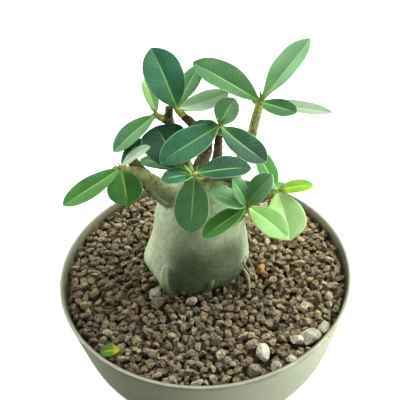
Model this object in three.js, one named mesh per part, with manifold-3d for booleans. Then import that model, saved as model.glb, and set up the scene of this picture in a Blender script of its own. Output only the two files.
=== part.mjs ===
// A desert rose (adenium) growing in a round bowl of coarse volcanic grit.
// Millimetres, +Z up. The origin is the centre of the bowl's base, and the plant's showing side faces -Y.
import * as THREE from 'three';
import { mergeVertices } from 'three/addons/utils/BufferGeometryUtils.js';
import Module from 'manifold-3d';

const wasm = await Module();
wasm.setup();

// Driving dimensions
const rimRadius = 75;
const bowlHeight = 65;
const baseRadius = 44;
const bowlWall = 1.8;
const bowlSides = 54;
const drainHoles = 6;
const drainHoleRadius = 3.5;
const drainCircleRadius = 26;
const gritLevel = 60; // mean height of the grit's surface
const grainSpacing = 5.8; // from the middle of one grain to the next
const grainRelief = 2.2; // how far grains stand above the gaps between them
const clearance = 0.3; // left between touching pieces
const trunkSides = 32;
const branchSides = 9;
const shootLength = 4.5; // green growing tip below the leaf bases
const bladeThickness = 0.7;
const ribDepth = 0.5;
const bladeFold = 12; // degrees that each half of a blade is raised from flat

const degrees = THREE.MathUtils.degToRad;
const vector = (x, y, z) => new THREE.Vector3(x, y, z);

// A repeatable random draw from 0 to 1
function seededRandom(seed) {
  let state = seed;
  return () => {
    state = (state * 1664525 + 1013904223) % 4294967296;
    return state / 4294967296;
  };
}

// Closed geometry from triangles given as vertex numbers
function geometryOf(points, triangles) {
  const geometry = new THREE.BufferGeometry();
  const numbers = points.flatMap((p) => [p.x, p.y, p.z]);
  geometry.setAttribute('position', new THREE.Float32BufferAttribute(numbers, 3));
  geometry.setIndex(triangles.flat());
  return geometry;
}

// Solids for cutting and joining
function solidOf(geometry) {
  const bare = geometry.clone();
  bare.deleteAttribute('normal');
  bare.deleteAttribute('uv');
  const merged = mergeVertices(bare, 1e-4);
  return new wasm.Manifold(
    new wasm.Mesh({
      numProp: 3,
      vertProperties: new Float32Array(merged.attributes.position.array),
      triVerts: new Uint32Array(merged.index.array),
    })
  );
}

function geometryFrom(solid) {
  const mesh = solid.getMesh();
  const geometry = new THREE.BufferGeometry();
  geometry.setAttribute('position', new THREE.BufferAttribute(mesh.vertProperties, 3));
  geometry.setIndex(new THREE.BufferAttribute(mesh.triVerts, 1));
  return geometry;
}

// Joins two closed loops of points that run the same way round, whatever their counts
function zip(lower, upper, triangles) {
  let i = 0;
  let j = 0;
  while (i < lower.length || j < upper.length) {
    const a = lower[i % lower.length];
    const b = upper[j % upper.length];
    if (j >= upper.length || (i < lower.length && (i + 1) / lower.length <= (j + 1) / upper.length)) {
      triangles.push([a, lower[(i + 1) % lower.length], b]);
      i++;
    } else {
      triangles.push([a, upper[(j + 1) % upper.length], b]);
      j++;
    }
  }
}

// A closed skin over rings of points, each ring running anticlockwise as seen from the last ring's end
function loft(rings) {
  const points = [];
  const triangles = [];
  const loops = rings.map((ring) => ring.map((p) => points.push(p) - 1));
  for (let k = 1; k < loops.length; k++) zip(loops[k - 1], loops[k], triangles);
  const cap = (loop, outwards) => {
    const middle = new THREE.Vector3();
    for (const n of loop) middle.addScaledVector(points[n], 1 / loop.length);
    const centre = points.push(middle) - 1;
    loop.forEach((n, i) => {
      const next = loop[(i + 1) % loop.length];
      triangles.push(outwards ? [n, next, centre] : [next, n, centre]);
    });
  };
  cap(loops[0], false);
  cap(loops[loops.length - 1], true);
  return geometryOf(points, triangles);
}

// A round tapering limb along a smooth path. Each stop is [x, y, z, radius].
function limb(stops, extra = 0, steps = 3 * (stops.length - 1)) {
  const path = new THREE.CatmullRomCurve3(stops.map(([x, y, z]) => vector(x, y, z)));
  const rings = [];
  let across = null;
  for (let k = 0; k <= steps; k++) {
    const t = k / steps;
    const centre = path.getPoint(t);
    const along = path.getTangent(t);
    across = across || (Math.abs(along.z) > 0.9 ? vector(1, 0, 0) : vector(0, 0, 1));
    across = across.clone().addScaledVector(along, -across.dot(along)).normalize();
    const other = along.clone().cross(across);
    const place = t * (stops.length - 1);
    const from = Math.min(Math.floor(place), stops.length - 2);
    const radius = THREE.MathUtils.lerp(stops[from][3], stops[from + 1][3], place - from) + extra;
    const ring = [];
    for (let s = 0; s < branchSides; s++) {
      const a = (s / branchSides) * 2 * Math.PI;
      ring.push(
        centre
          .clone()
          .addScaledVector(across, radius * Math.cos(a))
          .addScaledVector(other, radius * Math.sin(a))
      );
    }
    rings.push(ring);
  }
  return loft(rings);
}

// Bowl: a thin wall of revolution that curves in to a flat base
const bowlOutline = new THREE.SplineCurve([
  new THREE.Vector2(baseRadius, 0),
  new THREE.Vector2(55, 7.5),
  new THREE.Vector2(62.5, 16),
  new THREE.Vector2(68, 28),
  new THREE.Vector2(71.5, 45),
  new THREE.Vector2(rimRadius, bowlHeight),
]);

function bowlRadius(height) {
  const nearest = (best, p) => (Math.abs(p.y - height) < Math.abs(best.y - height) ? p : best);
  return bowlOutline.getPoints(400).reduce(nearest).x;
}

// Points up the wall, closer together where it curves in below
function wallProfile(inset, bottom, top, steps) {
  const profile = [];
  for (let k = 0; k <= steps; k++) {
    const height = bottom + (top - bottom) * (k / steps) ** 1.6;
    profile.push(new THREE.Vector2(bowlRadius(height) - inset, height));
  }
  return profile;
}

function makeBowl() {
  const outside = wallProfile(0, 0, bowlHeight, 9);
  const inside = wallProfile(bowlWall, bowlWall, bowlHeight, 8).reverse();
  const lathe = new THREE.LatheGeometry(
    [new THREE.Vector2(0, 0), ...outside, ...inside, new THREE.Vector2(0, bowlWall)],
    bowlSides
  );
  let bowl = solidOf(lathe.rotateX(Math.PI / 2));
  for (let k = 0; k < drainHoles; k++) {
    const turn = (k / drainHoles) * 2 * Math.PI;
    const hole = new THREE.CylinderGeometry(drainHoleRadius, drainHoleRadius, 3 * bowlWall, 12)
      .rotateX(Math.PI / 2)
      .translate(drainCircleRadius * Math.cos(turn), drainCircleRadius * Math.sin(turn), 0);
    bowl = bowl.subtract(solidOf(hole));
  }
  return geometryFrom(bowl);
}

// Caudex: the swollen trunk, leaning a little, with thick roots at the grit
// Each row is [height, centre x, centre y, radius].
const trunkRows = [
  [37, -4, 10, 5],
  [43, -4, 10, 13],
  [50, -4.5, 10, 20.5],
  [55, -4.5, 10.5, 24.6],
  [59.5, -4.4, 10.5, 26.6],
  [64, -4.1, 10.5, 26.7],
  [69, -3.2, 10.5, 26],
  [75, -2.3, 10.5, 25.1],
  [81, -1.8, 10.5, 24],
  [88, -1.3, 10.8, 23],
  [94, -0.8, 11, 22.2],
  [98.5, -0.5, 11.5, 20.2],
  [102, -0.4, 12, 16.5],
  [105, -0.2, 12, 10.5],
];

// Root shoulders, and hollows between them where the swell is below zero:
// [direction in degrees, height, swell, spread in degrees, spread in height]
const rootSwells = [
  [178, 60, 1.8, 16, 5.5],
  [-155, 61, -0.8, 12, 6],
  [-95, 60, 0.6, 12, 6],
  [-70, 60, -1.2, 10, 5],
  [-38, 63.5, 1.7, 15, 5],
  [-4, 61, 1.3, 18, 7],
  [70, 64, 2.4, 26, 9],
  [125, 62, 1.5, 18, 8],
];

function trunkRadius(radius, angle, height) {
  let r = radius * (1 + 0.022 * Math.sin(3 * angle + 0.6) + 0.015 * Math.sin(5 * angle + height / 9));
  for (const [turn, level, swell, wide, tall] of rootSwells) {
    const off = Math.atan2(Math.sin(angle - degrees(turn)), Math.cos(angle - degrees(turn)));
    r += swell * Math.exp(-((off / degrees(wide)) ** 2) - ((height - level) / tall) ** 2);
  }
  return r;
}

function trunkSolid(extra = 0) {
  const rings = trunkRows.map(([height, x, y, radius]) => {
    const ring = [];
    for (let s = 0; s < trunkSides; s++) {
      const a = (s / trunkSides) * 2 * Math.PI;
      const r = trunkRadius(radius, a, height) + extra;
      ring.push(vector(x + r * Math.cos(a), y + r * Math.sin(a), height));
    }
    return ring;
  });
  return solidOf(loft(rings));
}

// Thick roots that leave the caudex and go down into the grit: stops of [x, y, z, radius]
const roots = [
  [[-19.2, -8.6, 74, 1.5], [-20.4, -11.2, 68.4, 2.1], [-18.6, -15, 64, 1.9], [-15.8, -16.6, 59.5, 1.4]],
  [[21, 2, 68, 1], [22.6, -2, 64.5, 1.2], [22.6, -6, 61, 1.1], [22, -9, 56, 1]],
  [[14, 29, 66, 2.4], [18.5, 34, 62, 2.2], [20, 36, 56, 1.7]],
  [[-20, 24, 66, 2.6], [-25.5, 27.5, 62, 2.3], [-28, 29.5, 56, 1.8]],
];

function footSolid(extra) {
  return roots.reduce((foot, stops) => foot.add(solidOf(limb(stops, extra))), trunkSolid(extra));
}

// Branches grow from the caudex's crown. Each ends below a leaf rosette, whose middle is the tip.
// Stops are [x, y, z, radius], and end is the radius of the green shoot.
const branches = {
  upperLeft: {
    stops: [
      [-1, 10, 96, 8],
      [-0.5, 7.5, 111, 4.8],
      [1.2, 8, 123, 3.5],
      [5.2, 12, 130.5, 2.3],
      [3, 19, 134.5, 2.2],
      [-3, 25, 137, 2.2],
    ],
    tip: [-8.3, 27, 142.6],
    end: 1.8,
  },
  topStub: {
    stops: [[-3, 18, 94, 7], [-6, 24, 110, 3.8], [-10.8, 30, 126, 2.6], [-12.8, 30.6, 133.6, 2.3]],
    tip: [-18.3, 26, 141],
    end: 1.7,
  },
  middle: {
    stops: [[-1, 8, 109, 4.4], [-4.6, 7.2, 114.6, 2.8]],
    tip: [-9.3, 7, 121.6],
    end: 1.9,
  },
  left: {
    stops: [[-8, 12, 93, 9], [-17, 13, 103, 5.6], [-25, 14, 112.5, 3.7], [-31, 10.8, 119.5, 2.5]],
    tip: [-36.1, 7, 125],
    end: 2.1,
  },
  frontCentre: {
    stops: [
      [11, 13, 94, 8],
      [17, 11, 103, 4.4],
      [18, 9, 111.5, 3.2],
      [11.3, 4.5, 118.6, 2.6],
      [4, -2.5, 123.6, 2.3],
    ],
    tip: [-1.6, -7, 128.7],
    end: 2,
  },
  centre: {
    stops: [[3, 15, 96, 7.5], [7.5, 15.6, 110, 3.8], [9.6, 15.5, 122.5, 2.4]],
    tip: [11.3, 15, 139.5],
    end: 1.8,
  },
  right: {
    stops: [[9, 17, 93, 8], [18, 22, 107, 4.2], [25.5, 26.5, 118.5, 2.9], [28.8, 28.8, 130, 2.5]],
    tip: [31.7, 30, 142],
    end: 2.2,
  },
  lowFront: {
    stops: [[9, 4, 90, 9], [16.5, -1, 97.5, 4]],
    tip: [21.8, -6, 107.1],
    end: 2.2,
  },
  lowRight: {
    stops: [[8, 13, 90, 9], [20, 13.5, 93, 4.2], [29, 13, 96, 2.7]],
    tip: [38.5, 12, 101],
    end: 1.9,
  },
};

// Pruned ends and a bare twig, which carry no leaves
const bareEnds = [
  [[-12, 30.2, 130, 2.3], [-12.6, 30.8, 136, 2.2], [-12, 31, 142, 2]],
  [[-24, 13.8, 111, 3.6], [-29, 16, 117, 3.2], [-31.9, 17.2, 121.5, 2.8]],
  [[-13, 6, 98, 1.9], [-21, 6, 106, 1.1], [-29, 8.5, 116, 1.1], [-31.5, 10.5, 119.6, 1.1]],
];

function branchParts({ stops, tip, end }) {
  const last = stops[stops.length - 1];
  const axis = vector(tip[0] - last[0], tip[1] - last[1], tip[2] - last[2]).normalize();
  const point = vector(...tip).addScaledVector(axis, -shootLength - clearance);
  return { axis, wood: [...stops, [point.x, point.y, point.z, end]], end };
}

function makePlant() {
  const limbs = [...Object.values(branches).map((b) => branchParts(b).wood), ...bareEnds];
  return geometryFrom(limbs.reduce((plant, stops) => plant.add(solidOf(limb(stops))), footSolid(0)));
}

// Leaves: [turn, lift, roll, length, width, arch, form]. The chord from root to tip points turn
// degrees round from +X and lift degrees up, roll turns the blade about it, and arch is how far the
// blade bends over its length. A blade without a form is oval.
const leaves = {
  upperLeft: [
    [126, 57, -8, 31, 20, 12],
    [15, 8, 10, 26.5, 13.5, -20],
    [57, 29, 0, 27, 11, 10, 'lance'],
    [97, 10, 0, 20, 11, 25],
  ],
  topStub: [
    [-152, -26, -8, 27, 13, 12],
    [115, 52, 15, 18, 8, 8],
    [130, -42, 0, 17, 10, 20],
  ],
  middle: [
    [124, 30, 0, 24.3, 19.5, 8],
    [145, -3, 0, 21.5, 10, 10],
  ],
  left: [
    [-154, -17, -12, 32, 13, -14],
    [-80, -50, 0, 18, 17, 12],
    [8, 34, 0, 17.3, 7.6, 20],
    [45, 32, 0, 17, 8, 8],
    [118, -38, 0, 18, 10, 20],
  ],
  frontCentre: [
    [-104, -54, 0, 26.2, 16.5, 12],
    [0, 4, 0, 25.5, 17, 14],
    [-170, 1, 0, 15.5, 12, 14],
    [150, 35, 0, 7, 2.4, 10, 'lance'],
    [172, 12, 0, 7, 2.4, 10, 'lance'],
    [60, 45, 0, 5, 2.2, 10, 'lance'],
  ],
  centre: [
    [36, 50, 0, 14.5, 15.5, 10],
    [-36, -25, 10, 27.5, 15, -14],
    [-150, -12.5, -18, 33.4, 16.6, 12],
    [179, -2, 8, 29.5, 12.5, 10],
    [165, 14, 45, 8, 6, 10],
    [100, -38, 0, 17, 10, 20],
  ],
  right: [
    [159, 27, -12, 37.5, 17.5, -14, 'lance'],
    [24, 44, 0, 37.5, 15, -4, 'lance'],
    [-13, -15, 20, 18, 9.5, -10],
    [-7, -8, -4, 35.5, 12, -4],
    [75, -40, 0, 22, 12, 20],
  ],
  lowFront: [
    [-150, -14, 0, 26, 12.5, 4],
    [173, 25, -2, 20, 14, 10],
    [148, 62, 0, 16, 11, 8],
    [24, 46, 0, 19.5, 14.5, 10],
    [-39, -20, 0, 23.5, 16, 8],
  ],
  lowRight: [
    [144, 58, 0, 23, 14, 8],
    [3, 6, 6, 18.5, 9.5, 12],
    [-73, -48, 0, 25.3, 21, 12, 'round'],
    [60, -25, 0, 18, 11, 20],
  ],
};

// Half widths of a blade as shares of the widest, at shares of its length
const bladeForms = {
  oval: [
    [0, 0.1],
    [0.07, 0.22],
    [0.18, 0.58],
    [0.34, 0.88],
    [0.52, 1],
    [0.68, 0.98],
    [0.82, 0.8],
    [0.93, 0.48],
    [1, 0.08],
  ],
  round: [
    [0, 0.1],
    [0.07, 0.22],
    [0.18, 0.56],
    [0.34, 0.86],
    [0.5, 0.98],
    [0.66, 1],
    [0.82, 0.9],
    [0.93, 0.6],
    [1, 0.1],
  ],
  lance: [
    [0, 0.1],
    [0.1, 0.22],
    [0.25, 0.58],
    [0.42, 0.92],
    [0.55, 1],
    [0.7, 0.95],
    [0.82, 0.76],
    [0.92, 0.46],
    [1, 0.08],
  ],
};

function bladeSolid(root, [turn, lift, roll, length, width, arch, form = 'oval']) {
  const chord = vector(
    Math.cos(degrees(lift)) * Math.cos(degrees(turn)),
    Math.cos(degrees(lift)) * Math.sin(degrees(turn)),
    Math.sin(degrees(lift))
  );
  const level = vector(-Math.sin(degrees(turn)), Math.cos(degrees(turn)), 0);
  const side = level.applyAxisAngle(chord, degrees(roll));
  const top = chord.clone().cross(side).normalize();
  const half = degrees(arch) / 2;
  const fold = degrees(bladeFold);
  const points = [];
  const triangles = [];
  for (const [u, share] of bladeForms[form]) {
    const swing = (2 * u - 1) * half;
    const along = (length * (Math.sin(swing) + Math.sin(half))) / (2 * Math.sin(half));
    const rise = (length * (Math.cos(swing) - Math.cos(half))) / (2 * Math.sin(half));
    const rib = root.clone().addScaledVector(chord, along).addScaledVector(top, rise);
    const normal = top.clone().applyAxisAngle(side, swing);
    const reach = (share * width) / 2;
    const edge = (sign, raise) =>
      rib
        .clone()
        .addScaledVector(side, sign * reach * Math.cos(fold))
        .addScaledVector(normal, reach * Math.sin(fold) + raise);
    points.push(
      edge(1, bladeThickness / 2),
      rib.clone().addScaledVector(normal, bladeThickness / 2),
      edge(-1, bladeThickness / 2),
      edge(-1, -bladeThickness / 2),
      rib.clone().addScaledVector(normal, -bladeThickness / 2 - ribDepth),
      edge(1, -bladeThickness / 2)
    );
  }
  const around = 6;
  const stations = bladeForms[form].length;
  for (let k = 0; k + 1 < stations; k++) {
    for (let s = 0; s < around; s++) {
      const a = k * around + s;
      const b = k * around + ((s + 1) % around);
      // the upper and lower faces are split alike, so that they stay parallel
      const crossed = s === 0 || s === 3;
      if (crossed) triangles.push([a, b, b + around], [a, b + around, a + around]);
      else triangles.push([a, b, a + around], [b, b + around, a + around]);
    }
  }
  const last = (stations - 1) * around;
  for (const [i, j, k] of [[0, 1, 5], [1, 4, 5], [1, 2, 4], [2, 3, 4]]) {
    triangles.push([k, j, i], [last + i, last + j, last + k]);
  }
  return solidOf(geometryOf(points, triangles));
}

function makeRosette(name) {
  const { tip } = branches[name];
  const { axis, end } = branchParts(branches[name]);
  const centre = vector(...tip);
  const stop = (along, radius) => [...centre.clone().addScaledVector(axis, along).toArray(), radius];
  const shoot = [stop(-shootLength, end), stop(-1, end * 0.95), stop(1.2, end * 0.8), stop(3, end * 0.35)];
  let rosette = solidOf(limb(shoot, 0, 3));
  for (const leaf of leaves[name]) rosette = rosette.add(bladeSolid(centre, leaf));
  return geometryFrom(rosette);
}

// Grit: a bed of grains laid as a lattice of small humps over the bowl's filling
const latticeSides = 6;
const latticeSteps = [[1, 0], [0, 1], [-1, 1], [-1, 0], [0, -1], [1, -1]];

function makeGrit() {
  const random = seededRandom(7);
  const inside = wallProfile(bowlWall + clearance, bowlWall + clearance, gritLevel, 7);
  const edge = inside[inside.length - 1].x;
  const pitch = grainSpacing / Math.sqrt(3);
  const ringCount = Math.round(edge / pitch);
  const points = [];
  const triangles = [];
  const ringsOfNumbers = [];
  for (let k = 0; k <= ringCount; k++) {
    const numbers = [];
    for (let n = 0; n < Math.max(1, latticeSides * k); n++) {
      const side = k ? Math.floor(n / k) : 0;
      const step = k ? n % k : 0;
      // the place in steps along two directions 60 degrees apart makes every third point a grain's top
      const corner = latticeSteps[side];
      const next = latticeSteps[(side + 1) % latticeSides];
      const a = corner[0] * (k - step) + next[0] * step;
      const b = corner[1] * (k - step) + next[1] * step;
      const isTop = (((a - b) % 3) + 3) % 3 === 0;
      const isEdge = k === ringCount;
      const shift = isEdge ? 0 : pitch * 0.22;
      const r = (edge * k) / ringCount + (isEdge ? 0 : (random() - 0.5) * shift);
      const turn = k ? (n / (latticeSides * k)) * 2 * Math.PI : 0;
      const jog = k ? ((random() - 0.5) * shift) / Math.max(r, pitch) : 0;
      const draw = random();
      const rise = isTop ? 0.35 + 0.4 * draw : -0.3 - 0.3 * draw;
      const level = gritLevel + grainRelief * (isEdge ? -0.5 : rise);
      numbers.push(points.push(vector(r * Math.cos(turn + jog), r * Math.sin(turn + jog), level)) - 1);
    }
    ringsOfNumbers.push(numbers);
  }
  for (let k = 1; k <= ringCount; k++) {
    joinLatticeRings(ringsOfNumbers[k - 1], ringsOfNumbers[k], k, triangles);
  }
  let upper = ringsOfNumbers[ringCount];
  const belowLevels = inside.slice(0, -1).reverse();
  for (const { x, y } of belowLevels) {
    const lower = [];
    for (let s = 0; s < bowlSides; s++) {
      const a = (s / bowlSides) * 2 * Math.PI;
      lower.push(points.push(vector(x * Math.cos(a), x * Math.sin(a), y)) - 1);
    }
    zip(lower, upper, triangles);
    upper = lower;
  }
  const bottom = points.push(vector(0, 0, inside[0].y)) - 1;
  upper.forEach((n, i) => triangles.push([upper[(i + 1) % upper.length], n, bottom]));
  return geometryFrom(solidOf(geometryOf(points, triangles)).subtract(footSolid(clearance)));
}

// Triangles between two neighbouring rings of the lattice, side by side in six sectors
function joinLatticeRings(inner, outer, k, triangles) {
  for (let side = 0; side < latticeSides; side++) {
    for (let step = 0; step < k; step++) {
      const a = outer[side * k + step];
      const b = outer[(side * k + step + 1) % outer.length];
      const c = inner[k === 1 ? 0 : (side * (k - 1) + step) % inner.length];
      triangles.push([a, b, c]);
      if (step + 1 < k) {
        const d = inner[(side * (k - 1) + step + 1) % inner.length];
        triangles.push([b, d, c]);
      }
    }
  }
}

// A small shed leaf lying on the grit near the rim
const shedLeafRoot = [-41.2, -49.6, 62.8];
const shedLeaf = [176, 2, 0, 10, 7.5, 12];

function makeShedLeaf() {
  return geometryFrom(bladeSolid(vector(...shedLeafRoot), shedLeaf));
}

const finishes = {
  bowl: { color: 0x8a8f7c, roughness: 0.6, metalness: 0 },
  grit: { color: 0x7d6a58, roughness: 0.95, metalness: 0 },
  bark: { color: 0x9aa184, roughness: 0.75, metalness: 0 },
  leaf: { color: 0x3f7a4c, roughness: 0.45, metalness: 0 },
  youngLeaf: { color: 0x7fb544, roughness: 0.45, metalness: 0 },
};

const part = new THREE.Group();

function addPiece(name, geometry, finish) {
  const mesh = new THREE.Mesh(geometry, new THREE.MeshStandardMaterial(finishes[finish]));
  mesh.name = name;
  part.add(mesh);
}

addPiece('bowl', makeBowl(), 'bowl');
addPiece('grit', makeGrit(), 'grit');
addPiece('caudex_with_branches', makePlant(), 'bark');
const rosetteNames = {
  upperLeft: 'rosette_upper_left',
  topStub: 'rosette_top_stub',
  middle: 'rosette_middle',
  left: 'rosette_left',
  frontCentre: 'rosette_front_centre',
  centre: 'rosette_centre',
  right: 'rosette_right',
  lowFront: 'rosette_low_front',
  lowRight: 'rosette_low_right',
};
for (const [key, name] of Object.entries(rosetteNames)) addPiece(name, makeRosette(key), 'leaf');
addPiece('shed_leaf', makeShedLeaf(), 'youngLeaf');

export default part;
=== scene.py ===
import math

import bpy
import numpy as np
from mathutils import Matrix, Quaternion, Vector


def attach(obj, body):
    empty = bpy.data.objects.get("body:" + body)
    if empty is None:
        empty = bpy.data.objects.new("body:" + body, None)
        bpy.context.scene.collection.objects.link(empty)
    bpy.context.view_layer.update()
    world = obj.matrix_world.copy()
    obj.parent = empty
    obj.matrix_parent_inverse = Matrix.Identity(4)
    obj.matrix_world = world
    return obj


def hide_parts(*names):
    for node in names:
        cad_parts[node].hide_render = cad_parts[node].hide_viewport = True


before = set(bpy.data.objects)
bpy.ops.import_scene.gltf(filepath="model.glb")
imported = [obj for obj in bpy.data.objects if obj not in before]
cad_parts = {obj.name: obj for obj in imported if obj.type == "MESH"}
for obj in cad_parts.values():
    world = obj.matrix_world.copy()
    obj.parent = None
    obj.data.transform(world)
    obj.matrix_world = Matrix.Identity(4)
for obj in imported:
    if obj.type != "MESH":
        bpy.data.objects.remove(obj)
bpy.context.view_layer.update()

mm = 0.001  # the tables hold millimetres, Blender works in metres


# Helpers for objects and edit mode

def pickOnly(piece):
    bpy.ops.object.select_all(action="DESELECT")
    piece.select_set(True)
    bpy.context.view_layer.objects.active = piece


def joinAll(name, pieces):
    pickOnly(pieces[0])
    for piece in pieces:
        piece.select_set(True)
    if len(pieces) > 1:
        bpy.ops.object.join()
    joined = bpy.context.object
    joined.name = joined.data.name = name
    return joined


def modify(piece, kind, **values):
    modifier = piece.modifiers.new(kind.lower(), kind)
    for key, value in values.items():
        setattr(modifier, key, value)
    pickOnly(piece)
    bpy.ops.object.modifier_apply(modifier=modifier.name)


def pointsOf(piece, field="co"):
    values = np.empty(len(piece.data.vertices) * 3)
    piece.data.vertices.foreach_get(field, values)
    return values.reshape(-1, 3)


def movePoints(piece, points):
    piece.data.vertices.foreach_set("co", np.asarray(points, float).ravel())
    piece.data.update()


def keepValues(piece, **fields):
    # one value or colour for each vertex, which a material reads by its name
    for name, values in fields.items():
        values = np.asarray(values, np.float32)
        kind, field = ("FLOAT_COLOR", "color") if values.ndim == 2 else ("FLOAT", "value")
        layer = piece.data.attributes.new(name, kind, "POINT")
        layer.data.foreach_set(field, values.ravel())


def smoothCurve(points, place):
    # the point at a share of the way along a smooth line through the given points
    points = np.asarray(points, float)
    spans = len(points) - 1
    along = min(max(place, 0.0), 1.0) * spans
    k = min(int(along), spans - 1)
    f = along - k
    before, start = points[max(k - 1, 0)], points[k]
    end, after = points[k + 1], points[min(k + 2, spans)]
    return 0.5 * (
        2 * start
        + (end - before) * f
        + (2 * before - 5 * start + 4 * end - after) * f**2
        + (3 * start - before - 3 * end + after) * f**3
    )


def smoothStep(values, low, high):
    share = np.clip((np.asarray(values, float) - low) / (high - low), 0, 1)
    return share * share * (3 - 2 * share)


def stackRings(name, rings, sides):
    # rings are x, y, z and radius: one loop is extruded, moved and scaled from each to the next
    bpy.ops.object.select_all(action="DESELECT")
    x, y, z, radius = rings[0]
    bpy.ops.mesh.primitive_circle_add(
        vertices=sides, radius=radius * mm, location=(x * mm, y * mm, z * mm))
    piece = bpy.context.object
    piece.name = piece.data.name = name
    bpy.ops.object.mode_set(mode="EDIT")
    bpy.ops.mesh.select_mode(type="EDGE")
    bpy.ops.mesh.select_all(action="SELECT")
    for (x0, y0, z0, r0), (x1, y1, z1, r1) in zip(rings, rings[1:]):
        step = ((x1 - x0) * mm, (y1 - y0) * mm, (z1 - z0) * mm)
        bpy.ops.mesh.extrude_region_move(TRANSFORM_OT_translate={"value": step})
        bpy.ops.transform.resize(
            value=(r1 / r0, r1 / r0, 1), center_override=(x1 * mm, y1 * mm, z1 * mm))
    bpy.ops.mesh.select_all(action="SELECT")
    bpy.ops.mesh.fill_holes(sides=0)
    bpy.ops.mesh.normals_make_consistent(inside=False)
    bpy.ops.object.mode_set(mode="OBJECT")
    bpy.ops.object.transform_apply(location=True, rotation=True, scale=True)
    return piece


def bendTube(name, stops, sides=16, steps=8):
    # a round limb through stops of x, y, z and radius
    line = bpy.data.curves.new(name, "CURVE")
    line.dimensions = "3D"
    line.resolution_u = line.render_resolution_u = steps
    line.bevel_depth = mm
    line.bevel_resolution = sides // 4
    line.use_fill_caps = True
    spline = line.splines.new("BEZIER")
    spline.bezier_points.add(len(stops) - 1)
    for point, (x, y, z, radius) in zip(spline.bezier_points, stops):
        point.co = (x * mm, y * mm, z * mm)
        point.radius = radius
        point.handle_left_type = point.handle_right_type = "AUTO"
    tube = bpy.data.objects.new(name, line)
    bpy.context.scene.collection.objects.link(tube)
    pickOnly(tube)
    bpy.ops.object.convert(target="MESH")
    tube = bpy.context.object
    bpy.ops.object.mode_set(mode="EDIT")
    bpy.ops.mesh.select_all(action="SELECT")
    bpy.ops.mesh.remove_doubles(threshold=0.01 * mm)
    bpy.ops.mesh.normals_make_consistent(inside=False)
    bpy.ops.object.mode_set(mode="OBJECT")
    return tube


def smoothShade(piece, angle=180):
    pickOnly(piece)
    if angle < 180:
        bpy.ops.object.shade_smooth_by_angle(angle=math.radians(angle))
    else:
        bpy.ops.object.shade_smooth()


def handOver(piece, nodeName):
    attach(piece, "root")
    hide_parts(nodeName)
    print("finished", piece.name, len(piece.data.polygons), "faces")


# Helpers for materials

def paint(red, green, blue):
    # a colour picked on a 0 to 255 screen scale, as the linear colour that shaders use
    def linear(value):
        value /= 255
        return value / 12.92 if value <= 0.04045 else ((value + 0.055) / 1.055) ** 2.4
    return (linear(red), linear(green), linear(blue), 1.0)


def feed(tree, made, sockets):
    for key, value in sockets.items():
        if isinstance(value, bpy.types.NodeSocket):
            tree.links.new(value, made.inputs[key])
        else:
            made.inputs[key].default_value = value


def node(tree, kind, sockets=None, **settings):
    made = tree.nodes.new("ShaderNode" + kind)
    for key, value in settings.items():
        setattr(made, key, value)
    feed(tree, made, sockets or {})
    return made


def blend(tree, share, first, second, mode="MIX"):
    mixed = node(tree, "Mix", {0: share, 6: first, 7: second}, data_type="RGBA", blend_type=mode)
    return mixed.outputs[2]


def maths(tree, operation, first, second=0.0):
    return node(tree, "Math", {0: first, 1: second}, operation=operation).outputs[0]


def times(tree, first, second):
    return maths(tree, "MULTIPLY", first, second)


def fade(tree, value, low, high):
    # 0 below low and 1 above high, or the other way round where low is the larger
    return node(
        tree, "MapRange", {"Value": value, "From Min": low, "From Max": high},
        interpolation_type="SMOOTHSTEP").outputs["Result"]


def scaleTo(tree, value, low, high):
    # what runs from 0 to 1 then runs from low to high
    return node(tree, "MapRange", {"Value": value, "To Min": low, "To Max": high}).outputs["Result"]


def noise(tree, place, scale, detail=3.0, roughness=0.55):
    return node(
        tree, "TexNoise",
        {"Vector": place, "Scale": scale, "Detail": detail, "Roughness": roughness}).outputs["Fac"]


def attribute(tree, name, output="Fac"):
    return node(tree, "Attribute", attribute_name=name).outputs[output]


def newMaterial(name, roughness, specular):
    material = bpy.data.materials.new(name)
    material.use_nodes = True
    tree = material.node_tree
    shader = tree.nodes["Principled BSDF"]
    feed(tree, shader, {"Roughness": roughness, "Specular IOR Level": specular})
    return material, tree, shader, node(tree, "TexCoord").outputs["Object"]


def finishSkin(tree, shader, colour, height, depth, roughness=None):
    # colour and relief, and roughness where it changes over the surface
    bump = node(tree, "Bump", {"Height": height, "Distance": depth, "Strength": 1.0})
    feed(tree, shader, {"Base Color": colour, "Normal": bump.outputs["Normal"]})
    if roughness is not None:
        feed(tree, shader, {"Roughness": roughness})


def newGroup(name, inputs, outputs):
    group = bpy.data.node_groups.new(name, "ShaderNodeTree")
    for way, sockets in (("INPUT", inputs), ("OUTPUT", outputs)):
        for label, kind in sockets.items():
            group.interface.new_socket(label, in_out=way, socket_type="NodeSocket" + kind)
    source = group.nodes.new("NodeGroupInput").outputs
    return group, source, group.nodes.new("NodeGroupOutput")


def useGroup(tree, group, sockets):
    used = tree.nodes.new("ShaderNodeGroup")
    used.node_tree = group
    feed(tree, used, sockets)
    return used.outputs


def makeMottle():
    # soft clouds of a second colour over the first
    group, source, result = newGroup(
        "mottle",
        {"Place": "Vector", "Scale": "Float", "Share": "Float", "Colour": "Color", "Second": "Color"},
        {"Colour": "Color", "Height": "Float"})
    cloud = noise(group, source["Place"], source["Scale"], 4.0, 0.6)
    share = times(group, fade(group, cloud, 0.36, 0.66), source["Share"])
    mixed = blend(group, share, source["Colour"], source["Second"])
    feed(group, result, {"Colour": mixed, "Height": cloud})
    return group


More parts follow.
